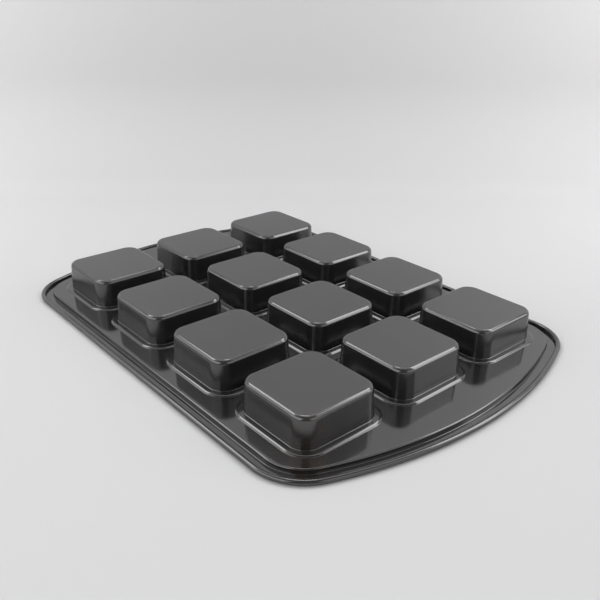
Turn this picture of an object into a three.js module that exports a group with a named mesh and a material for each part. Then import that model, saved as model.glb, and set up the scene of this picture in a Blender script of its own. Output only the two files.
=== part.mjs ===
// Square muffin pan of pressed steel sheet, upside down as it is stored: it stands on its rim, cups up.
// Millimetres. +Z is up, X runs along the four cups of a row, Y across the three rows, and the
// origin is at the middle of the pan on the surface that the rim stands on.
// A section through the sheet is drawn as (out, up): up is the height, and out is the distance
// outwards, from a cup's centre for a cup and from the rim's outer edge (so negative) for the rim.
import * as THREE from "three";
import { mergeVertices } from "three/addons/utils/BufferGeometryUtils.js";

// Sheet, and its bends measured on the inside of the bend
const SHEET_THICKNESS = 0.6;
const PRESS_BEND = 0.8;
const CUP_BASE_BEND = 2.4;

// Cups, over the outer face of the sheet: a lean is how far a sloping face runs outwards
const CUPS_IN_ROW = 4;
const ROWS = 3;
const CUP_BASE_WIDTH = 61.2;
const CUP_CORNER_RADIUS = 10.6;
const CUP_DEPTH = 21.0;
const CUP_WALL_LEAN = 1.3;

// Ledge that frames each cup
const LEDGE_WIDTH = 5.1;
const LEDGE_RISE = 1.6;
const LEDGE_LEAN = 1.3;

// Deck: its strips between the ledges, and from the ledges to the step along the sides and corners
const DECK_BETWEEN_CUPS = 3.4;
const DECK_BETWEEN_ROWS = 4.5;
const SIDE_DECK = 8.8;
const CORNER_DECK = 6.9;

// Outline of the pan: rounded corners, and ends that bow out past them
const PLAN_CORNER_RADIUS = 39;
const END_BOW = 19.5;

// Step from the deck down to the flange, and the flange out to the pan's edge
const STEP_RISE = 3.4;
const STEP_LEAN = 2.3;
const FLANGE_WIDTH = 9.3;

// Wire in the rolled rim, and how far round it the sheet is rolled, in degrees
const WIRE_DIAMETER = 2.4;
const WIRE_CLEARANCE = 0.3;
const WIRE_BUTT_GAP = 1.0;
const RIM_SWEEP = 285;

// Facets
const CORNER_FACETS = 4;
const BASE_BEND_FACETS = 3;
const STEP_TOP_FACETS = 3;
const SMALL_BEND_FACETS = 1;
const PLAN_CORNER_FACETS = 6;
const END_FACETS = 10;
const RIM_FACETS = 9;
const WIRE_SIDES = 8;

// Heights of the upper faces
const flangeTop = SHEET_THICKNESS;
const deckTop = flangeTop + STEP_RISE;
const ledgeTop = deckTop + LEDGE_RISE;
const baseTop = ledgeTop + CUP_DEPTH;

// Half widths of a cup and its ledge, and the spacing that these and the deck's strips make
const baseHalf = CUP_BASE_WIDTH / 2;
const cornerCentre = baseHalf - CUP_CORNER_RADIUS;
const wallFootHalf = baseHalf + CUP_WALL_LEAN;
const ledgeHalf = wallFootHalf + LEDGE_WIDTH;
const ledgeFootHalf = ledgeHalf + LEDGE_LEAN;
const pitchInRow = 2 * ledgeFootHalf + DECK_BETWEEN_CUPS;
const pitchOfRows = 2 * ledgeFootHalf + DECK_BETWEEN_ROWS;

// The pan's outline: centres of its corner arcs, and the end arc that touches both of them
const rimRadius = WIRE_DIAMETER / 2 + WIRE_CLEARANCE + SHEET_THICKNESS;
const stepTopInset = FLANGE_WIDTH + STEP_LEAN;
const lastCupX = ((CUPS_IN_ROW - 1) / 2) * pitchInRow;
const lastCupY = ((ROWS - 1) / 2) * pitchOfRows;
const cornerX = lastCupX + ledgeFootHalf + CORNER_DECK + stepTopInset - PLAN_CORNER_RADIUS;
const cornerY = lastCupY + ledgeFootHalf + SIDE_DECK + stepTopInset - PLAN_CORNER_RADIUS;
const endRadius = PLAN_CORNER_RADIUS + END_BOW / 2 + cornerY ** 2 / (2 * END_BOW);
const endCentreX = cornerX + PLAN_CORNER_RADIUS + END_BOW - endRadius;
const endAngle = Math.atan2(cornerY, cornerX - endCentreX);

// Points of an arc from one angle to another, both included.
function arcPoints(x, y, radius, from, to, facets) {
  return Array.from({ length: facets + 1 }, (_, i) => {
    const angle = from + ((to - from) * i) / facets;
    return new THREE.Vector2(x + radius * Math.cos(angle), y + radius * Math.sin(angle));
  });
}

// The rim's outline moved outwards by out, counterclockwise: round the +X end first, then the -X end.
function rimOutline(out) {
  const quarter = Math.PI / 2;
  const cornerRadius = PLAN_CORNER_RADIUS + out;
  const half = [
    ...arcPoints(cornerX, -cornerY, cornerRadius, -quarter, -endAngle, PLAN_CORNER_FACETS),
    ...arcPoints(endCentreX, 0, endRadius + out, -endAngle, endAngle, END_FACETS).slice(1, -1),
    ...arcPoints(cornerX, cornerY, cornerRadius, endAngle, quarter, PLAN_CORNER_FACETS),
  ];
  return [...half, ...half.map((p) => p.clone().negate())];
}

// A cup's rounded square of the given half width, around its own centre, counterclockwise. Its
// corner arcs keep their centres at every height, so their radius grows with the half width.
function cupOutline(half) {
  return [0, 1, 2, 3].flatMap((corner) => {
    const from = (corner * Math.PI) / 2;
    const centre = new THREE.Vector2(cornerCentre, cornerCentre).rotateAround(new THREE.Vector2(), from);
    const to = from + Math.PI / 2;
    return arcPoints(centre.x, centre.y, half - cornerCentre, from, to, CORNER_FACETS);
  });
}

function leftOf(direction) {
  return new THREE.Vector2(-direction.y, direction.x);
}

function corner(out, up, bend, facets) {
  return { at: new THREE.Vector2(out, up), bend, facets };
}

// Stations along a pressed section, which runs through the corners of the upper face. Each corner
// is rounded by its bend, larger by the sheet on the outside of the bend. A station holds its place
// on the upper face and the direction from the lower face to the upper.
function pressedSection(corners) {
  const stations = [];
  for (let i = 1; i < corners.length - 1; i++) {
    const { at, bend, facets } = corners[i];
    const before = at.clone().sub(corners[i - 1].at).normalize();
    const after = corners[i + 1].at.clone().sub(at).normalize();
    const turn = Math.atan2(before.cross(after), before.dot(after));
    const side = Math.sign(turn);
    const radius = side < 0 ? bend + SHEET_THICKNESS : bend;
    const tangent = radius * Math.tan(Math.abs(turn) / 2);
    const start = at.clone().addScaledVector(before, -tangent);
    const centre = start.addScaledVector(leftOf(before), side * radius);
    for (let k = 0; k <= facets; k++) {
      const normal = leftOf(before).rotateAround(new THREE.Vector2(), (turn * k) / facets);
      stations.push({ upper: centre.clone().addScaledVector(normal, -side * radius), normal });
    }
  }
  return stations;
}

// From the cup's flat base, down its wall, over the ledge that frames it and onto the deck.
function cupSection() {
  return pressedSection([
    corner(0, baseTop),
    corner(baseHalf, baseTop, CUP_BASE_BEND, BASE_BEND_FACETS),
    corner(wallFootHalf, ledgeTop, PRESS_BEND, SMALL_BEND_FACETS),
    corner(ledgeHalf, ledgeTop, PRESS_BEND, SMALL_BEND_FACETS),
    corner(ledgeFootHalf, deckTop, PRESS_BEND, SMALL_BEND_FACETS),
    corner(pitchInRow, deckTop),
  ]);
}

// From the deck down the step, out along the flange and round the wire.
function rimSection() {
  const pressed = pressedSection([
    corner(-stepTopInset - SIDE_DECK, deckTop),
    corner(-stepTopInset, deckTop, PRESS_BEND, STEP_TOP_FACETS),
    corner(-FLANGE_WIDTH, flangeTop, PRESS_BEND, SMALL_BEND_FACETS),
    corner(0, flangeTop),
  ]);
  const centre = new THREE.Vector2(-rimRadius, rimRadius);
  const rolled = Array.from({ length: RIM_FACETS + 1 }, (_, i) => {
    const angle = THREE.MathUtils.degToRad((RIM_SWEEP * i) / RIM_FACETS);
    const normal = new THREE.Vector2(-Math.sin(angle), Math.cos(angle));
    return { upper: centre.clone().addScaledVector(normal, SHEET_THICKNESS - rimRadius), normal };
  });
  return [...pressed, ...rolled];
}

// A station's place on the upper face (depth 0) or on the lower one (depth the sheet's thickness).
function atDepth(station, depth) {
  return station.upper.clone().addScaledVector(station.normal, -depth);
}

function raised(outline, up, x = 0, y = 0) {
  return outline.map((p) => new THREE.Vector3(p.x + x, p.y + y, up));
}

// Triangles of a closed sheet, collected corner by corner.
class Skin {
  positions = [];

  triangle(a, b, c, flipped) {
    for (const p of flipped ? [a, c, b] : [a, b, c]) this.positions.push(p.x, p.y, p.z);
  }

  // A band between two loops with as many points, the second one further out.
  band(inner, outer, flipped) {
    inner.forEach((a, i) => {
      const next = (i + 1) % inner.length;
      this.triangle(a, outer[i], outer[next], flipped);
      this.triangle(a, outer[next], inner[next], flipped);
    });
  }

  // A flat face inside a loop, less the holes.
  face(loop, holes, flipped) {
    const flat = (points) => points.map((p) => new THREE.Vector2(p.x, p.y));
    const all = [loop, ...holes].flat();
    for (const [i, j, k] of THREE.ShapeUtils.triangulateShape(flat(loop), holes.map(flat))) {
      this.triangle(all[i], all[j], all[k], flipped);
    }
  }

  geometry() {
    const loose = new THREE.BufferGeometry();
    loose.setAttribute("position", new THREE.Float32BufferAttribute(this.positions, 3));
    const closed = mergeVertices(loose);
    closed.computeVertexNormals();
    return closed;
  }
}

function cupCentres() {
  const centres = [];
  for (let row = 0; row < ROWS; row++) {
    for (let place = 0; place < CUPS_IN_ROW; place++) {
      centres.push({ x: place * pitchInRow - lastCupX, y: row * pitchOfRows - lastCupY });
    }
  }
  return centres;
}

// The whole pressing: cups, deck, flange and rolled rim, one sheet with two faces and a cut edge.
function panBodyGeometry() {
  const skin = new Skin();
  const cupStations = cupSection();
  const rimStations = rimSection();
  const edges = [];
  for (const depth of [0, SHEET_THICKNESS]) {
    const flipped = depth > 0;
    const holes = cupCentres().map(({ x, y }) => {
      const loops = cupStations.map((station) => {
        const place = atDepth(station, depth);
        return raised(cupOutline(place.x), place.y, x, y);
      });
      skin.face(loops[0], [], flipped);
      loops.slice(1).forEach((loop, i) => skin.band(loops[i], loop, flipped));
      return loops.at(-1);
    });
    const loops = rimStations.map((station) => {
      const place = atDepth(station, depth);
      return raised(rimOutline(place.x), place.y);
    });
    skin.face(loops[0], holes, flipped);
    loops.slice(1).forEach((loop, i) => skin.band(loops[i], loop, flipped));
    edges.push(loops.at(-1));
  }
  skin.band(edges[0], edges[1], false);
  return skin.geometry();
}

// The line that the rim's wire follows, through the corners of the rolled edge's own facets. It
// starts and ends in the middle of a long side, with the butt gap between its ends.
class WireLine extends THREE.Curve {
  constructor() {
    super();
    const loop = raised(rimOutline(-rimRadius), rimRadius);
    const start = new THREE.Vector3(WIRE_BUTT_GAP / 2, loop[0].y, rimRadius);
    const end = new THREE.Vector3(-WIRE_BUTT_GAP / 2, loop[0].y, rimRadius);
    this.places = [start, ...loop, end];
  }

  get steps() {
    return this.places.length - 1;
  }

  getPoint(t, target = new THREE.Vector3()) {
    const along = t * this.steps;
    const i = Math.min(Math.floor(along), this.steps - 1);
    return target.lerpVectors(this.places[i], this.places[i + 1], along - i);
  }

  getPointAt(t, target) {
    return this.getPoint(t, target);
  }

  getTangentAt(t, target) {
    return this.getTangent(t, target);
  }
}

function rimWireGeometry() {
  const line = new WireLine();
  const round = arcPoints(0, 0, WIRE_DIAMETER / 2, 0, 2 * Math.PI, WIRE_SIDES).slice(1);
  const options = { steps: line.steps, extrudePath: line };
  const wire = new THREE.ExtrudeGeometry(new THREE.Shape(round), options);
  wire.deleteAttribute("normal");
  wire.deleteAttribute("uv");
  const closed = mergeVertices(wire);
  closed.computeVertexNormals();
  return closed;
}

const darkCoat = new THREE.MeshStandardMaterial({ color: 0x2b2c2e, roughness: 0.38, metalness: 0.35 });
const bareSteel = new THREE.MeshStandardMaterial({ color: 0x9a9ca0, roughness: 0.4, metalness: 1 });

function part(name, geometry, material) {
  const mesh = new THREE.Mesh(geometry, material);
  mesh.name = name;
  return mesh;
}

const muffinPan = new THREE.Group();
muffinPan.add(part("pan_body", panBodyGeometry(), darkCoat));
muffinPan.add(part("rim_wire", rimWireGeometry(), bareSteel));

export default muffinPan;
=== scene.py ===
"""Square muffin pan on a pale paper sweep: its coated sheet and the wire in its rolled rim.

The file is laid out as an add-on: one operator for each piece and one for the stage. Both pieces
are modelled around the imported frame, in metres and +Z up. The pan lies upside down on its rim,
with X along the four cups of a row and Y across the three rows.
"""
import math

import bmesh
import bpy
from bpy.props import FloatProperty, FloatVectorProperty, IntProperty, PointerProperty
from mathutils import Matrix, Vector


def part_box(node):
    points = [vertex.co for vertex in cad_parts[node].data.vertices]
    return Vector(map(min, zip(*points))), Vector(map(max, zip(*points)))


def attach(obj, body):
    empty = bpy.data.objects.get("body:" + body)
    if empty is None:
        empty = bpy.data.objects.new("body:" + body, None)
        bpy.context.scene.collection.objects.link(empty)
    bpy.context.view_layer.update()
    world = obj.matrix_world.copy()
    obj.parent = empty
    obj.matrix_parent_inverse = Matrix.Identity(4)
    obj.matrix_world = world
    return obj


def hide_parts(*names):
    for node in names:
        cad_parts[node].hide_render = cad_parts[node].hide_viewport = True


bl_info = {
    "name": "Square muffin pan",
    "version": (1, 0, 0),
    "blender": (4, 5, 0),
    "location": "3D view > Sidebar > Muffin pan",
    "description": "Models the coated sheet and the rim wire of a square muffin pan, and its stage",
    "category": "Object",
}

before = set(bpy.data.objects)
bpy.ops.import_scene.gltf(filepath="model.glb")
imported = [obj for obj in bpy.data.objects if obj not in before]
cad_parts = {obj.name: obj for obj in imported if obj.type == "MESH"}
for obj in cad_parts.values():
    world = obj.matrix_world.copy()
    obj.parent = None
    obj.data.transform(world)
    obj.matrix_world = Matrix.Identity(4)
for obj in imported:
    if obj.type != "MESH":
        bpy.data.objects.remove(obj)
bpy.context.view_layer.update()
PAN_LOW, PAN_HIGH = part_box("pan_body")

MM = 0.001
QUARTER = math.pi / 2

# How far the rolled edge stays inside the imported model's box
EDGE_INSET = 0.6 * MM
# Flat strips of deck on each cup's tile and on the rim's band, between which the deck is filled
TILE_STRIP = 1.2 * MM
BAND_STRIP = 3 * MM

# How near two places are when they count as one, when a vertex lies on a rounded loop, and when
# two vertices are merged
SAME_PLACE = 0.001 * MM
ON_LOOP = 0.05 * MM
MERGED = 0.01 * MM
# How far past the roll's end a vertex is kept, in radians
SWEEP_SLACK = 1e-4
# Faces that meet at less than this angle are shaded as one
SMOOTH_BELOW = math.radians(40)

# Segments of the cups' upright corners and of the bends round a cup, from the deck up
CUP_CORNER_STEPS = 14
LEDGE_FOOT_STEPS = 4
LEDGE_EDGE_STEPS = 6
WALL_FOOT_STEPS = 5
BASE_EDGE_STEPS = 9
# Segments of the step's two bends, of the rim's corners and ends, and of the two full circles
STEP_FOOT_STEPS = 5
DECK_EDGE_STEPS = 6
RIM_CORNER_STEPS = 20
RIM_END_STEPS = 44
ROLL_STEPS = 48
WIRE_STEPS = 16
# Segments of the paper's bend
PAPER_STEPS = 24

# The cup corner round which a warm reflection is painted into the coating's colour, and the noise
# levels between which a patch fades in
WARM_REFLECTION_CORNER = (152 * MM, -113 * MM, 14 * MM)
PATCH_FROM, PATCH_TO = 0.35, 0.65
# How much the mottle varies the coating's colour, as a share, and its roughness
COAT_MOTTLE = 0.15
COAT_GLOSS_SPREAD = 0.1
# Least roughness of the wire, and how much more the mottle adds
WIRE_ROUGHNESS = 0.25
WIRE_GLOSS_SPREAD = 0.2
# Depth of the grain, and how strongly it shows on the coating and on the wire
GRAIN_DEPTH = 0.02 * MM
COAT_GRAIN = 0.04
WIRE_GRAIN = 0.2
# Roughness and specular level of the paper, and the heights in metres between which its colour
# changes from the floor's to the upright's slightly darker one, which is painted shade, blurred by
# noise
PAPER_ROUGHNESS = 0.9
PAPER_SPECULAR = 0.1
PAPER_FADE_FROM, PAPER_FADE_TO = 0.0005, 0.012
PAPER_FADE_NOISE = 0.008

# Watts per square metre of an area lamp whose radiance is one
LAMP_WATTS = 4
# The pale part of the room: the height of its middle, away from the camera, and the angles
# from that middle at which it is still fully bright and at which it ends
CEILING_HEIGHT = math.radians(35)
CEILING_FULL = math.radians(25)
CEILING_END = math.radians(50)

# Lamps: name, degrees to the right of the line of sight, degrees up, metres off, then the
# width and height in metres and the radiance. Each faces the pan.
LAMPS = (
    ("Lamp left", -56, 49, 2.6, 1.35, 0.75, 2.6),
    ("Lamp right", 57, 47, 2.6, 1.95, 0.75, 2.8),
    ("Lamp behind", 0, 56, 2.6, 0.35, 0.35, 5.0),
    ("Side right", 86, 24, 1.6, 0.60, 0.80, 2.0),
    ("Fill left", -82, 23, 1.6, 0.70, 0.70, 1.2),
    ("Fill near left", -125, 32, 1.8, 2.00, 1.40, 1.2),
    ("Fill near right", 122, 28, 1.8, 1.80, 1.20, 0.68),
)
# Lamps that wash the paper behind the pan: name, metres to the right of the pan's middle, metres
# beyond it and up, degrees tilted down, then the width and height in metres and the radiance
WASHES = (
    ("Paper wash", 0.0, 0.0, 0.9, 20, 1.2, 0.3, 2.0),
    ("Paper wash left", -0.65, 0.14, 0.4, 24, 0.5, 0.4, 1.15),
    ("Paper wash right", 0.6, 0.14, 0.4, 22, 0.5, 0.4, 1.3),
)


class MuffinPanSheet(bpy.types.PropertyGroup):
    """Sizes of the pressed sheet, over its outer face."""

    length: FloatProperty(
        name="Length", description="Over the rolled edge, along a row of cups",
        default=PAN_HIGH.x - PAN_LOW.x - 2 * EDGE_INSET, subtype="DISTANCE", unit="LENGTH")
    width: FloatProperty(
        name="Width", description="Over the rolled edge, across the rows",
        default=PAN_HIGH.y - PAN_LOW.y - 2 * EDGE_INSET, subtype="DISTANCE", unit="LENGTH")
    height: FloatProperty(
        name="Height", description="From the rim's underside to the cup bases",
        default=PAN_HIGH.z - PAN_LOW.z, subtype="DISTANCE", unit="LENGTH")
    thickness: FloatProperty(
        name="Sheet", description="Thickness of the coated sheet",
        default=0.6 * MM, subtype="DISTANCE", unit="LENGTH")
    press_bend: FloatProperty(
        name="Small bends", description="Inside radius of the ledge's and the step's bends",
        default=0.5 * MM, subtype="DISTANCE", unit="LENGTH")
    base_bend: FloatProperty(
        name="Base bend", description="Outside radius between a cup's wall and base",
        default=3.0 * MM, subtype="DISTANCE", unit="LENGTH")
    cups_in_row: IntProperty(name="Cups in a row", description="Cups along the pan", default=4)
    rows: IntProperty(name="Rows", description="Rows of cups across the pan", default=3)
    pitch_in_row: FloatProperty(
        name="Pitch in a row", description="From cup to cup along a row",
        default=80 * MM, subtype="DISTANCE", unit="LENGTH")
    pitch_of_rows: FloatProperty(
        name="Pitch of rows", description="From row to row",
        default=81.1 * MM, subtype="DISTANCE", unit="LENGTH")
    cup_width: FloatProperty(
        name="Cup base", description="Width of a cup at its base",
        default=61.2 * MM, subtype="DISTANCE", unit="LENGTH")
    cup_corner: FloatProperty(
        name="Cup corner", description="Radius of a cup's upright corners at its base",
        default=10.6 * MM, subtype="DISTANCE", unit="LENGTH")
    wall_lean: FloatProperty(
        name="Wall lean", description="How far a cup's wall runs out from its base to its foot",
        default=1.1 * MM, subtype="DISTANCE", unit="LENGTH")
    ledge_width: FloatProperty(
        name="Ledge width", description="Flat of the ledge round each cup",
        default=4.1 * MM, subtype="DISTANCE", unit="LENGTH")
    ledge_rise: FloatProperty(
        name="Ledge rise", description="Height of the ledge above the deck",
        default=1.0 * MM, subtype="DISTANCE", unit="LENGTH")
    ledge_lean: FloatProperty(
        name="Ledge lean", description="How far the ledge's edge slopes out",
        default=1.0 * MM, subtype="DISTANCE", unit="LENGTH")
    ledge_bend: FloatProperty(
        name="Ledge bend", description="Outside radius of the ledge's edge",
        default=2.6 * MM, subtype="DISTANCE", unit="LENGTH")
    deck_height: FloatProperty(
        name="Deck height", description="From the rim's underside to the deck",
        default=4.2 * MM, subtype="DISTANCE", unit="LENGTH")


class MuffinPanRim(bpy.types.PropertyGroup):
    """Sizes of the pan's outline, its flange and its rolled edge."""

    corner: FloatProperty(
        name="Corner radius", description="Radius of the pan's corners over the rolled edge",
        default=39 * MM, subtype="DISTANCE", unit="LENGTH")
    end_bow: FloatProperty(
        name="End bow", description="How far the middle of an end stands out past the corners",
        default=19.5 * MM, subtype="DISTANCE", unit="LENGTH")
    flange: FloatProperty(
        name="Flange", description="From the rolled edge in to the foot of the step",
        default=9.6 * MM, subtype="DISTANCE", unit="LENGTH")
    step_lean: FloatProperty(
        name="Step lean", description="How far the step slopes in up to the deck",
        default=0.25 * MM, subtype="DISTANCE", unit="LENGTH")
    roll: FloatProperty(
        name="Roll radius", description="Outside radius of the rolled edge",
        default=1.8 * MM, subtype="DISTANCE", unit="LENGTH")
    sweep: FloatProperty(
        name="Roll sweep", description="How far round the wire the sheet is rolled",
        default=math.radians(285), subtype="ANGLE", unit="ROTATION")
    wire: FloatProperty(
        name="Wire", description="Diameter of the wire in the rolled edge",
        default=2.0 * MM, subtype="DISTANCE", unit="LENGTH")
    wire_butt: FloatProperty(
        name="Wire butt gap", description="Between the two ends of the wire",
        default=1.0 * MM, subtype="DISTANCE", unit="LENGTH")


class MuffinPanView(bpy.types.PropertyGroup):
    """Where the camera stands and what it aims at."""

    bearing: FloatProperty(
        name="Bearing", description="Direction of the camera round the pan, from -Y towards +X",
        default=math.radians(49.02), subtype="ANGLE", unit="ROTATION")
    elevation: FloatProperty(
        name="Elevation", description="Height of the camera above the horizon",
        default=math.radians(25.15), subtype="ANGLE", unit="ROTATION")
    roll: FloatProperty(
        name="Roll", description="Turn of the camera about its own line of sight",
        default=math.radians(0.78), subtype="ANGLE", unit="ROTATION")
    target: FloatVectorProperty(
        name="Target", description="Point that the camera aims at",
        default=(30.0 * MM, -10.9 * MM, 26.6 * MM), subtype="TRANSLATION", unit="LENGTH")
    distance: FloatProperty(
        name="Distance", description="From the camera to its target",
        default=531.7 * MM, subtype="DISTANCE", unit="LENGTH")
    sensor: FloatProperty(
        name="Sensor", description="Width of the camera's sensor in millimetres", default=36)
    focal_share: FloatProperty(
        name="Focal share", description="Focal length as a share of the sensor's width",
        default=1.193)


class MuffinPanFinish(bpy.types.PropertyGroup):
    """Colours and gloss of the coating and of the wire."""

    coat_colour: FloatVectorProperty(
        name="Coating", description="Colour of the non-stick coating",
        default=(0.015, 0.015, 0.016), subtype="COLOR", min=0, max=1)
    coat_roughness: FloatProperty(
        name="Coating roughness", description="Blur of what the coating mirrors", default=0.11)
    wall_roughness: FloatProperty(
        name="Wall roughness", description="Roughness added where the sheet is drawn into a wall",
        default=0.12)
    coat_ior: FloatProperty(
        name="Coating IOR", description="Index of refraction of the coating", default=1.92)
    # Colour of a painted warm reflection, mixed into the coating's colour round one cup corner
    painted_reflection_colour: FloatVectorProperty(
        name="Baked-on oil", description="Colour of the painted warm reflection near one corner",
        default=(0.036, 0.023, 0.016), subtype="COLOR", min=0, max=1)
    wire_colour: FloatVectorProperty(
        name="Wire", description="Colour of the bare steel wire",
        default=(0.6, 0.6, 0.62), subtype="COLOR", min=0, max=1)


class MuffinPanStage(bpy.types.PropertyGroup):
    """The paper sweep under and behind the pan, and the light of the room."""

    floor_width: FloatProperty(
        name="Floor width", description="Across the line of sight",
        default=5.0, subtype="DISTANCE", unit="LENGTH")
    floor_length: FloatProperty(
        name="Floor length", description="Along the line of sight",
        default=4.0, subtype="DISTANCE", unit="LENGTH")
    floor_drop: FloatProperty(
        name="Floor drop", description="Gap between the pan's rim and the paper",
        default=0.05 * MM, subtype="DISTANCE", unit="LENGTH")
    sweep_distance: FloatProperty(
        name="Sweep distance", description="From the pan's middle to the upright paper",
        default=0.44, subtype="DISTANCE", unit="LENGTH")
    sweep_height: FloatProperty(
        name="Sweep height", description="Height of the upright paper",
        default=0.6, subtype="DISTANCE", unit="LENGTH")
    sweep_radius: FloatProperty(
        name="Sweep radius", description="Radius of the paper between floor and upright",
        default=0.12, subtype="DISTANCE", unit="LENGTH")
    paper_colour: FloatVectorProperty(
        name="Paper", description="Colour of the paper",
        default=(0.67, 0.67, 0.675), subtype="COLOR", min=0, max=1)
    # A little darker than the floor's colour: painted shade on the same paper where it stands up
    upright_shade_colour: FloatVectorProperty(
        name="Shaded upright paper", description="Colour of the paper where it stands up",
        default=(0.65, 0.645, 0.65), subtype="COLOR", min=0, max=1)
    room_light: FloatProperty(
        name="Room light", description="Light from the room's ceiling", default=1.2)
    room_low: FloatProperty(
        name="Low room light", description="Light from the room's walls", default=0.2)
    room_seen: FloatProperty(
        name="Room seen", description="Paleness of the room past the paper", default=0.7)


class Plan:
    """The pan's outline: two bowed ends, four corner arcs and two straight sides.

    It holds the centre of a corner's arc, the place on X of an end arc's centre, and half of the
    angle that an end arc spans.
    """

    def __init__(self, sheet, rim):
        self.half_width = sheet.width / 2
        self.corner_x = sheet.length / 2 - rim.end_bow - rim.corner
        self.corner_y = self.half_width - rim.corner
        reach = self.corner_y**2 / (2 * rim.end_bow)
        end_radius = rim.corner + rim.end_bow / 2 + reach
        self.end_x = sheet.length / 2 - end_radius
        self.end_angle = math.atan2(self.corner_y, self.corner_x - self.end_x)


def deselect_all():
    bpy.ops.object.select_all(action="DESELECT")


def take(piece):
    """Make the piece the active one and the only one selected."""
    deselect_all()
    bpy.context.view_layer.objects.active = piece
    piece.select_set(True)


def edit(piece):
    take(piece)
    bpy.ops.object.mode_set(mode="EDIT")


def leave_edit():
    bpy.ops.object.mode_set(mode="OBJECT")


def apply_place():
    """Put the selected piece's place, turn and scale into its mesh."""
    bpy.ops.object.transform_apply(location=True, rotation=True, scale=True)


def pick(piece, kind, test):
    """Select, in edit mode, only the vertices, edges or faces that pass the test."""
    mode = {"verts": "VERT", "edges": "EDGE", "faces": "FACE"}[kind]
    bpy.ops.mesh.select_mode(type=mode)
    bpy.ops.mesh.select_all(action="DESELECT")
    mesh = bmesh.from_edit_mesh(piece.data)
    for part in getattr(mesh, kind):
        if test(part):
            part.select_set(True)
    mesh.select_flush_mode()
    bmesh.update_edit_mesh(piece.data)


def near(a, b, within=SAME_PLACE):
    return abs(a - b) < within


def bend_setback(radius, turn):
    """From the corner of a bend to where its arc starts."""
    return radius * math.tan(abs(turn) / 2)


def extrude_by(*step):
    bpy.ops.mesh.extrude_region_move(TRANSFORM_OT_translate={"value": step})


def model_cup(sheet):
    """One cup on its ledge, raised from a plane by insets, with each edge bevelled to its bend."""
    foot_half = sheet.cup_width / 2 + sheet.wall_lean
    ledge_half = foot_half + sheet.ledge_width
    tile_half = ledge_half + sheet.ledge_lean + TILE_STRIP
    corner_centre = sheet.cup_width / 2 - sheet.cup_corner
    ledge_top = sheet.deck_height + sheet.ledge_rise
    wall_rise = sheet.height - ledge_top
    deselect_all()
    bpy.ops.mesh.primitive_plane_add(size=2 * tile_half, location=(0, 0, sheet.deck_height))
    cup = bpy.context.active_object
    cup.name = "pressed_sheet"
    apply_place()
    edit(cup)
    bpy.ops.mesh.select_all(action="SELECT")
    bpy.ops.mesh.bevel(
        offset=tile_half - corner_centre, offset_type="OFFSET", segments=CUP_CORNER_STEPS,
        affect="VERTICES")
    pick(cup, "faces", lambda face: True)
    bpy.ops.mesh.inset(thickness=TILE_STRIP, depth=0)
    bpy.ops.mesh.inset(thickness=sheet.ledge_lean, depth=sheet.ledge_rise)
    bpy.ops.mesh.inset(thickness=sheet.ledge_width, depth=0)
    bpy.ops.mesh.inset(thickness=sheet.wall_lean, depth=wall_rise)
    slope = math.atan2(sheet.ledge_rise, sheet.ledge_lean)
    steep = math.atan2(wall_rise, sheet.wall_lean)
    for half, up, radius, turn, steps in (
        (ledge_half + sheet.ledge_lean, sheet.deck_height, sheet.press_bend, slope,
         LEDGE_FOOT_STEPS),
        (ledge_half, ledge_top, sheet.ledge_bend, slope, LEDGE_EDGE_STEPS),
        (foot_half, ledge_top, sheet.press_bend, steep, WALL_FOOT_STEPS),
        (sheet.cup_width / 2, sheet.height, sheet.base_bend, steep, BASE_EDGE_STEPS),
    ):
        pick_loop(cup, half, up, corner_centre)
        bpy.ops.mesh.bevel(
            offset=bend_setback(radius, turn), offset_type="OFFSET", segments=steps,
            affect="EDGES", clamp_overlap=False)
    leave_edit()
    return cup


def pick_loop(piece, half, up, corner_centre):
    """Select the loop of edges that runs round the cup at a half width and a height."""
    radius = half - corner_centre

    def on_loop(vertex):
        out_x = max(abs(vertex.co.x) - corner_centre, 0)
        out_y = max(abs(vertex.co.y) - corner_centre, 0)
        return near(vertex.co.z, up) and near(math.hypot(out_x, out_y), radius, ON_LOOP)

    pick(piece, "edges", lambda edge: all(on_loop(v) for v in edge.verts))


def repeat_cups(cup, sheet):
    """Copy the cup along the row and across the rows, and centre the block."""
    for axis, count, pitch in (
        (0, sheet.cups_in_row, sheet.pitch_in_row),
        (1, sheet.rows, sheet.pitch_of_rows),
    ):
        array = cup.modifiers.new("Cups", "ARRAY")
        array.count = count
        array.use_relative_offset = False
        array.use_constant_offset = True
        array.constant_offset_displace = [pitch if i == axis else 0 for i in range(3)]
        bpy.ops.object.modifier_apply(modifier=array.name)
    back = Vector((
        -(sheet.cups_in_row - 1) * sheet.pitch_in_row / 2,
        -(sheet.rows - 1) * sheet.pitch_of_rows / 2,
        0,
    ))
    cup.data.transform(Matrix.Translation(back))


def carry_round(plan):
    """Carry the selected section from the start of one corner right round the pan."""
    corner_angle = QUARTER - plan.end_angle
    for side in (1, -1):
        for x, y, angle, steps in (
            (plan.corner_x, -plan.corner_y, corner_angle, RIM_CORNER_STEPS),
            (plan.end_x, 0, 2 * plan.end_angle, RIM_END_STEPS),
            (plan.corner_x, plan.corner_y, corner_angle, RIM_CORNER_STEPS),
        ):
            bpy.ops.mesh.spin(
                steps=steps, angle=angle, center=(side * x, side * y, 0), axis=(0, 0, -1))
        if side > 0:
            extrude_by(-2 * plan.corner_x, 0, 0)


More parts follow.
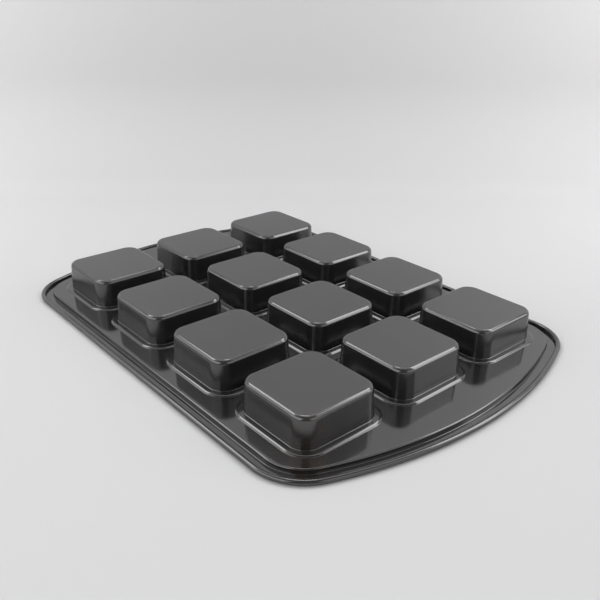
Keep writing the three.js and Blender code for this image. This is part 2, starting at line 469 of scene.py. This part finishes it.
def model_rim(sheet, rim, plan):
    """The flange, step and rolled edge: a section drawn at a corner's start and carried round."""
    inner = rim.roll - sheet.thickness
    centre = Vector((plan.corner_x, -(plan.half_width - rim.roll), rim.roll))
    deselect_all()
    bpy.ops.mesh.primitive_circle_add(
        vertices=ROLL_STEPS, radius=inner, location=centre, rotation=(0, QUARTER, 0))
    band = bpy.context.active_object
    band.name = "rim_band"
    apply_place()
    edit(band)

    def past_sweep(vertex):
        from_bottom = math.atan2(centre.y - vertex.co.y, centre.z - vertex.co.z) % (2 * math.pi)
        return from_bottom > rim.sweep + SWEEP_SLACK

    pick(band, "verts", past_sweep)
    bpy.ops.mesh.delete(type="VERT")
    low = centre.z - inner
    pick(band, "verts", lambda v: near(v.co.y, centre.y) and near(v.co.z, low))
    step_rise = sheet.deck_height - sheet.thickness
    extrude_by(0, rim.flange - rim.roll, 0)
    extrude_by(0, rim.step_lean, step_rise)
    extrude_by(0, BAND_STRIP, 0)
    slope = math.atan2(step_rise, rim.step_lean)
    foot_y = -plan.half_width + rim.flange
    deck_bend = sheet.press_bend + sheet.thickness
    for y, up, radius, steps in (
        (foot_y, low, sheet.press_bend, STEP_FOOT_STEPS),
        (foot_y + rim.step_lean, sheet.deck_height, deck_bend, DECK_EDGE_STEPS),
    ):
        pick(band, "verts", lambda v: near(v.co.y, y) and near(v.co.z, up))
        bpy.ops.mesh.bevel(
            offset=bend_setback(radius, slope), offset_type="OFFSET", segments=steps,
            affect="VERTICES", clamp_overlap=False)
    bpy.ops.mesh.select_all(action="SELECT")
    carry_round(plan)
    bpy.ops.mesh.select_all(action="SELECT")
    bpy.ops.mesh.remove_doubles(threshold=MERGED)

    def open_end(edge):
        start, end = edge.verts
        on_start = near(abs(start.co.x), plan.corner_x)
        return edge.is_boundary and on_start and near(start.co.x, end.co.x)

    # The last straight side closes the band between the section's first and last place.
    pick(band, "edges", open_end)
    bpy.ops.mesh.bridge_edge_loops()
    leave_edit()
    return band


def join_to_band(cups, band, deck):
    """Join the cups' tiles to the rim's band, and fill the deck between them."""
    take(cups)
    band.select_set(True)
    bpy.ops.object.join()
    edit(cups)
    pick(cups, "edges", lambda e: e.is_boundary and all(near(v.co.z, deck) for v in e.verts))
    bpy.ops.mesh.fill(use_beauty=True)
    bpy.ops.mesh.select_all(action="SELECT")
    bpy.ops.mesh.normals_make_consistent(inside=False)
    leave_edit()
    if max(cups.data.polygons, key=lambda face: face.center.z).normal.z < 0:
        cups.data.flip_normals()


def give_thickness(piece, thickness):
    """Turn the open skin into sheet: the skin is its upper face, the thickness lies under it."""
    solid = piece.modifiers.new("Sheet", "SOLIDIFY")
    solid.thickness = thickness
    solid.offset = -1
    solid.use_even_offset = True
    take(piece)
    bpy.ops.object.modifier_apply(modifier=solid.name)


def smooth(piece):
    """Shade smooth, with the flats kept flat and sharp edges only where sheet or wire is cut."""
    take(piece)
    bpy.ops.object.shade_smooth_by_angle(angle=SMOOTH_BELOW)
    weighted = piece.modifiers.new("Flats", "WEIGHTED_NORMAL")
    weighted.keep_sharp = True
    bpy.ops.object.modifier_apply(modifier=weighted.name)


def add_group(name, inputs, outputs):
    """A shader node group with plain value inputs and outputs, and its two end nodes."""
    group = bpy.data.node_groups.new(name, "ShaderNodeTree")
    for label, value in inputs:
        socket = group.interface.new_socket(label, in_out="INPUT", socket_type="NodeSocketFloat")
        socket.default_value = value
    for label in outputs:
        group.interface.new_socket(label, in_out="OUTPUT", socket_type="NodeSocketFloat")
    return group, group.nodes.new("NodeGroupInput"), group.nodes.new("NodeGroupOutput")


def add(tree, kind, inputs=(), **settings):
    """A node of the kind with its settings, and its inputs set to values or joined to sockets."""
    made = tree.nodes.new(kind)
    for name, value in settings.items():
        setattr(made, name, value)
    for name, value in dict(inputs).items():
        if isinstance(value, bpy.types.NodeSocket):
            tree.links.new(value, made.inputs[name])
        else:
            made.inputs[name].default_value = value
    return made


def math_node(tree, operation, *values):
    """The result of a Math node on the given values or sockets."""
    return add(tree, "ShaderNodeMath", enumerate(values), operation=operation).outputs[0]


def bump_with_grain(tree, shader, effect, strength):
    """Let the grain's height bump the shader's surface."""
    bump = add(tree, "ShaderNodeBump", {
        "Height": effect.outputs["Height"], "Strength": strength, "Distance": GRAIN_DEPTH})
    tree.links.new(bump.outputs["Normal"], shader.inputs["Normal"])


def surface_grain():
    """Fine grain and broad mottle of a finish: a height for bumps and a tone about a half."""
    group, start, end = add_group(
        "Surface grain", (("Grain per metre", 1500), ("Mottle per metre", 30)), ("Height", "Tone"))
    place = add(group, "ShaderNodeTexCoord").outputs["Object"]
    fine = add(group, "ShaderNodeTexNoise", {
        "Vector": place, "Scale": start.outputs["Grain per metre"],
        "Detail": 2, "Roughness": 0.5})
    broad = add(group, "ShaderNodeTexNoise", {
        "Vector": place, "Scale": start.outputs["Mottle per metre"],
        "Detail": 3, "Roughness": 0.55})
    group.links.new(fine.outputs["Fac"], end.inputs["Height"])
    group.links.new(broad.outputs["Fac"], end.inputs["Tone"])
    return group


def grain_group():
    return bpy.data.node_groups.get("Surface grain") or surface_grain()


def painted_reflection_mask():
    """Where a warm reflection is painted into the coating's colour: a patchy mask round one corner
    of the pan.
    """
    group, start, end = add_group(
        "Baked-on oil", (("Reach in metres", 0.034), ("Patches per metre", 110)), ("Amount",))
    place = add(group, "ShaderNodeTexCoord").outputs["Object"]
    away = add(group, "ShaderNodeVectorMath", {0: place, 1: WARM_REFLECTION_CORNER}, operation="DISTANCE")
    nearness = add(group, "ShaderNodeMapRange", {
        "Value": away.outputs["Value"], "From Max": start.outputs["Reach in metres"],
        "To Min": 1, "To Max": 0}, interpolation_type="SMOOTHSTEP")
    patches = add(group, "ShaderNodeTexNoise", {
        "Vector": place, "Scale": start.outputs["Patches per metre"], "Detail": 3})
    patchy = add(group, "ShaderNodeMapRange", {
        "Value": patches.outputs["Fac"], "From Min": PATCH_FROM, "From Max": PATCH_TO})
    amount = math_node(group, "MULTIPLY", nearness.outputs["Result"], patchy.outputs["Result"])
    group.links.new(amount, end.inputs["Amount"])
    return group


def drawn_walls():
    """Where the sheet is drawn into a cup's upright wall, above the ledge."""
    group, start, end = add_group(
        "Drawn walls",
        (("Lowest in metres", 0.006), ("Full in metres", 0.009), ("Slant at the end", 0.6)),
        ("Amount",))
    place = add(group, "ShaderNodeTexCoord")
    up = add(group, "ShaderNodeSeparateXYZ", {"Vector": place.outputs["Object"]}).outputs["Z"]
    facing = add(group, "ShaderNodeSeparateXYZ", {"Vector": place.outputs["Normal"]}).outputs["Z"]
    high = add(group, "ShaderNodeMapRange", {
        "Value": up, "From Min": start.outputs["Lowest in metres"],
        "From Max": start.outputs["Full in metres"]})
    slant = math_node(group, "ABSOLUTE", facing)
    upright = add(group, "ShaderNodeMapRange", {
        "Value": slant, "From Max": start.outputs["Slant at the end"],
        "To Min": 1, "To Max": 0})
    amount = math_node(group, "MULTIPLY", high.outputs["Result"], upright.outputs["Result"])
    group.links.new(amount, end.inputs["Amount"])
    return group


def new_material(name):
    made = bpy.data.materials.new(name)
    made.use_nodes = True
    tree = made.node_tree
    return made, tree, tree.nodes["Principled BSDF"]


def coated_sheet_material(finish, grain):
    """Dark non-stick coating, semi-gloss and mottled, softer on the walls, with a painted warm
    reflection in its colour round one corner.
    """
    made, tree, shader = new_material("Dark non-stick coating")
    effect = add(tree, "ShaderNodeGroup", node_tree=grain)
    colour = add(tree, "ShaderNodeMix", data_type="RGBA")
    tree.links.new(effect.outputs["Tone"], colour.inputs["Factor"])
    colour.inputs["A"].default_value = (*[(1 - COAT_MOTTLE) * c for c in finish.coat_colour], 1)
    colour.inputs["B"].default_value = (*[(1 + COAT_MOTTLE) * c for c in finish.coat_colour], 1)
    # Painted warm reflection: a brownish patchy tint mixed into the coating's colour round one cup
    # corner
    reflection_patch = add(tree, "ShaderNodeGroup", node_tree=painted_reflection_mask())
    tinted = add(tree, "ShaderNodeMix", data_type="RGBA")
    tree.links.new(reflection_patch.outputs["Amount"], tinted.inputs["Factor"])
    tree.links.new(colour.outputs["Result"], tinted.inputs["A"])
    tinted.inputs["B"].default_value = (*finish.painted_reflection_colour, 1)
    tree.links.new(tinted.outputs["Result"], shader.inputs["Base Color"])
    least = finish.coat_roughness - COAT_GLOSS_SPREAD / 2
    spread = math_node(
        tree, "MULTIPLY_ADD", effect.outputs["Tone"], COAT_GLOSS_SPREAD, least)
    walls = add(tree, "ShaderNodeGroup", node_tree=drawn_walls())
    rougher = math_node(
        tree, "MULTIPLY_ADD", walls.outputs["Amount"], finish.wall_roughness, spread)
    tree.links.new(rougher, shader.inputs["Roughness"])
    bump_with_grain(tree, shader, effect, COAT_GRAIN)
    shader.inputs["IOR"].default_value = finish.coat_ior
    return made


def steel_wire_material(finish, grain):
    """Bare drawn steel wire."""
    made, tree, shader = new_material("Bare steel wire")
    effect = add(tree, "ShaderNodeGroup", {"Grain per metre": 4000}, node_tree=grain)
    spread = math_node(
        tree, "MULTIPLY_ADD", effect.outputs["Tone"], WIRE_GLOSS_SPREAD, WIRE_ROUGHNESS)
    tree.links.new(spread, shader.inputs["Roughness"])
    bump_with_grain(tree, shader, effect, WIRE_GRAIN)
    shader.inputs["Base Color"].default_value = (*finish.wire_colour, 1)
    shader.inputs["Metallic"].default_value = 1
    return made


def paper_material(stage):
    """Pale paper of the floor and its sweep, a little darker where it stands up as painted shade,
    see-through from behind the sweep.
    """
    made, tree, shader = new_material("Pale paper sweep")
    place = add(tree, "ShaderNodeTexCoord").outputs["Object"]
    up = add(tree, "ShaderNodeSeparateXYZ", {"Vector": place}).outputs["Z"]
    cloud = add(tree, "ShaderNodeTexNoise", {"Vector": place, "Scale": 5, "Detail": 1})
    uneven = math_node(
        tree, "MULTIPLY_ADD", cloud.outputs["Fac"], PAPER_FADE_NOISE, -PAPER_FADE_NOISE / 2)
    height = math_node(tree, "ADD", up, uneven)
    rise = add(tree, "ShaderNodeMapRange", {
        "Value": height, "From Min": PAPER_FADE_FROM, "From Max": PAPER_FADE_TO},
        interpolation_type="SMOOTHSTEP")
    # The upright paper's darker colour is painted shade, faded in by height
    colour = add(tree, "ShaderNodeMix", data_type="RGBA")
    colour.inputs["A"].default_value = (*stage.paper_colour, 1)
    colour.inputs["B"].default_value = (*stage.upright_shade_colour, 1)
    tree.links.new(rise.outputs["Result"], colour.inputs["Factor"])
    tree.links.new(colour.outputs["Result"], shader.inputs["Base Color"])
    shader.inputs["Roughness"].default_value = PAPER_ROUGHNESS
    shader.inputs["Specular IOR Level"].default_value = PAPER_SPECULAR
    behind = add(tree, "ShaderNodeNewGeometry").outputs["Backfacing"]
    clear = add(tree, "ShaderNodeBsdfTransparent")
    mixed = add(tree, "ShaderNodeMixShader", {
        "Fac": behind, 1: shader.outputs["BSDF"], 2: clear.outputs["BSDF"]})
    tree.links.new(mixed.outputs["Shader"], tree.nodes["Material Output"].inputs["Surface"])
    return made


def wear(piece, material):
    piece.data.materials.clear()
    piece.data.materials.append(material)


def across_view(view, bearing, height):
    """Unit direction, by its bearing to the right of the line of sight and its height."""
    turn = view.bearing - bearing
    return Vector((
        -math.sin(turn) * math.cos(height),
        math.cos(turn) * math.cos(height),
        math.sin(height),
    ))


def lay_floor(stage, view):
    """A wide floor whose far side sweeps up behind the pan."""
    deselect_all()
    away = across_view(view, 0, 0)
    centre = away * (stage.sweep_distance - stage.floor_length / 2)
    bpy.ops.mesh.primitive_plane_add(
        size=1, location=(centre.x, centre.y, -stage.floor_drop),
        rotation=(0, 0, view.bearing))
    floor = bpy.context.active_object
    floor.name = "paper_sweep"
    floor.scale = (stage.floor_width, stage.floor_length, 1)
    apply_place()
    far = stage.sweep_distance - stage.floor_drop
    edit(floor)
    pick(floor, "edges", lambda e: all(v.co.dot(away) > far for v in e.verts))
    extrude_by(0, 0, stage.sweep_height)
    pick(floor, "edges", lambda e: not e.is_boundary)
    bpy.ops.mesh.bevel(
        offset=stage.sweep_radius, offset_type="OFFSET", segments=PAPER_STEPS, affect="EDGES")
    leave_edit()
    if floor.data.polygons[0].normal.z < 0:
        floor.data.flip_normals()
    bpy.ops.object.shade_smooth()
    wear(floor, paper_material(stage))


def hang_lamp(name, place, back, width, depth, radiance):
    """A soft rectangular lamp that shines away from its back."""
    data = bpy.data.lights.new(name, "AREA")
    data.shape = "RECTANGLE"
    data.size = width
    data.size_y = depth
    data.energy = radiance * LAMP_WATTS * width * depth
    lamp = bpy.data.objects.new(name, data)
    bpy.context.scene.collection.objects.link(lamp)
    turn = back.to_track_quat("Z", "Y").to_matrix().to_4x4()
    lamp.matrix_world = Matrix.Translation(place) @ turn


def hang_lamps(view):
    """Soft lamps round the pan, and three over and beside it that light the paper behind it."""
    for name, bearing, height, distance, width, depth, radiance in LAMPS:
        way = across_view(view, math.radians(bearing), math.radians(height))
        hang_lamp(name, way * distance, way, width, depth, radiance)
    right, away = across_view(view, QUARTER, 0), across_view(view, 0, 0)
    for name, aside, beyond, height, tilt, width, depth, radiance in WASHES:
        place = aside * right + beyond * away + Vector((0, 0, height))
        back = across_view(view, math.pi, math.radians(tilt))
        hang_lamp(name, place, back, width, depth, radiance)


def light_world(stage, view):
    """A dim room, pale above and behind the pan, which the camera sees as pale as the paper."""
    world = bpy.data.worlds.new("Room")
    bpy.context.scene.world = world
    world.use_nodes = True
    tree = world.node_tree
    room = tree.nodes["Background"]
    way = add(tree, "ShaderNodeTexCoord").outputs["Generated"]
    middle = across_view(view, 0, CEILING_HEIGHT)
    off_middle = add(tree, "ShaderNodeVectorMath", {0: way, 1: middle}, operation="DOT_PRODUCT")
    ceiling = add(tree, "ShaderNodeMapRange", {
        "Value": off_middle.outputs["Value"],
        "From Min": math.cos(CEILING_END),
        "From Max": math.cos(CEILING_FULL),
        "To Min": stage.room_low,
        "To Max": stage.room_light,
    })
    tree.links.new(ceiling.outputs["Result"], room.inputs["Color"])
    seen = add(tree, "ShaderNodeBackground", {"Color": (*[stage.room_seen] * 3, 1)})
    camera = add(tree, "ShaderNodeLightPath").outputs["Is Camera Ray"]
    mixed = add(tree, "ShaderNodeMixShader", {
        "Fac": camera, 1: room.outputs["Background"], 2: seen.outputs["Background"]})
    tree.links.new(mixed.outputs["Shader"], tree.nodes["World Output"].inputs["Surface"])


def place_camera(view):
    """Aim the camera from its bearing and height at a point on the pan, rolled a little."""
    bearing, height, roll = view.bearing, view.elevation, view.roll
    turn = Matrix.Rotation(bearing, 4, "Z") @ Matrix.Rotation(QUARTER - height, 4, "X")
    turn = turn @ Matrix.Rotation(roll, 4, "Z")
    data = bpy.data.cameras.new("Camera")
    data.sensor_width = view.sensor
    data.lens = view.focal_share * view.sensor
    data.clip_start = 10 * MM
    camera = bpy.data.objects.new("Camera", data)
    bpy.context.scene.collection.objects.link(camera)
    back = (turn @ Vector((0, 0, 1, 0))).to_3d()
    camera.matrix_world = Matrix.Translation(Vector(view.target) + view.distance * back) @ turn
    bpy.context.scene.camera = camera


class MUFFIN_OT_pressed_sheet(bpy.types.Operator):
    """Model the cups, deck, flange and rolled rim as one pressed sheet"""

    bl_idname = "muffin_pan.pressed_sheet"
    bl_label = "Pressed sheet"

    def execute(self, context):
        sheet, rim = context.scene.muffin_sheet, context.scene.muffin_rim
        pan = model_cup(sheet)
        repeat_cups(pan, sheet)
        band = model_rim(sheet, rim, Plan(sheet, rim))
        join_to_band(pan, band, sheet.deck_height)
        give_thickness(pan, sheet.thickness)
        smooth(pan)
        wear(pan, coated_sheet_material(context.scene.muffin_finish, grain_group()))
        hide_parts("pan_body")
        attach(pan, "root")
        return {"FINISHED"}


class MUFFIN_OT_rim_wire(bpy.types.Operator):
    """Model the wire in the rolled rim, its two ends butted in the middle of a long side"""

    bl_idname = "muffin_pan.rim_wire"
    bl_label = "Rim wire"

    def execute(self, context):
        sheet, rim = context.scene.muffin_sheet, context.scene.muffin_rim
        plan = Plan(sheet, rim)
        half_gap = rim.wire_butt / 2
        start = Vector((half_gap, -(plan.half_width - rim.roll), rim.roll))
        deselect_all()
        bpy.ops.mesh.primitive_circle_add(
            vertices=WIRE_STEPS, radius=rim.wire / 2, fill_type="NGON", location=start,
            rotation=(0, QUARTER, 0))
        wire = context.active_object
        wire.name = "stiffening_wire"
        apply_place()
        edit(wire)
        bpy.ops.mesh.select_all(action="SELECT")
        bpy.ops.mesh.duplicate()
        extrude_by(plan.corner_x - half_gap, 0, 0)
        carry_round(plan)
        extrude_by(plan.corner_x - half_gap, 0, 0)
        bpy.ops.mesh.select_all(action="SELECT")
        bpy.ops.mesh.remove_doubles(threshold=MERGED)
        bpy.ops.mesh.normals_make_consistent(inside=False)
        leave_edit()
        smooth(wire)
        wear(wire, steel_wire_material(context.scene.muffin_finish, grain_group()))
        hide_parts("rim_wire")
        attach(wire, "root")
        return {"FINISHED"}


class MUFFIN_OT_stage(bpy.types.Operator):
    """Lay the pale floor and its sweep, and place the lamps and the camera"""

    bl_idname = "muffin_pan.stage"
    bl_label = "Stage"

    def execute(self, context):
        stage, view = context.scene.muffin_stage, context.scene.muffin_view
        lay_floor(stage, view)
        hang_lamps(view)
        light_world(stage, view)
        place_camera(view)
        context.scene.view_settings.view_transform = "Standard"
        return {"FINISHED"}


# Scene property, title in the panel and type of each group of settings
SETTINGS = (
    ("muffin_sheet", "Pressed sheet", MuffinPanSheet),
    ("muffin_rim", "Rim and wire", MuffinPanRim),
    ("muffin_finish", "Finish", MuffinPanFinish),
    ("muffin_stage", "Stage", MuffinPanStage),
    ("muffin_view", "View", MuffinPanView),
)
OPERATORS = (MUFFIN_OT_pressed_sheet, MUFFIN_OT_rim_wire, MUFFIN_OT_stage)


class MUFFIN_PT_sidebar(bpy.types.Panel):
    """Settings of the pan and its stage, and the operators that make them"""

    bl_idname = "MUFFIN_PT_sidebar"
    bl_label = "Muffin pan"
    bl_space_type = "VIEW_3D"
    bl_region_type = "UI"
    bl_category = "Muffin pan"

    def draw(self, context):
        for name, title, kind in SETTINGS:
            box = self.layout.box()
            box.label(text=title)
            for setting in kind.__annotations__:
                box.prop(getattr(context.scene, name), setting)
        for operator in OPERATORS:
            self.layout.operator(operator.bl_idname)


def register():
    for name, _title, kind in SETTINGS:
        bpy.utils.register_class(kind)
        setattr(bpy.types.Scene, name, PointerProperty(type=kind))
    for made in (*OPERATORS, MUFFIN_PT_sidebar):
        bpy.utils.register_class(made)


def unregister():
    for made in (MUFFIN_PT_sidebar, *reversed(OPERATORS)):
        bpy.utils.unregister_class(made)
    for name, _title, kind in reversed(SETTINGS):
        delattr(bpy.types.Scene, name)
        bpy.utils.unregister_class(kind)


def main():
    register()
    bpy.ops.muffin_pan.pressed_sheet()
    bpy.ops.muffin_pan.rim_wire()
    bpy.ops.muffin_pan.stage()


if __name__ == "__main__":
    main()
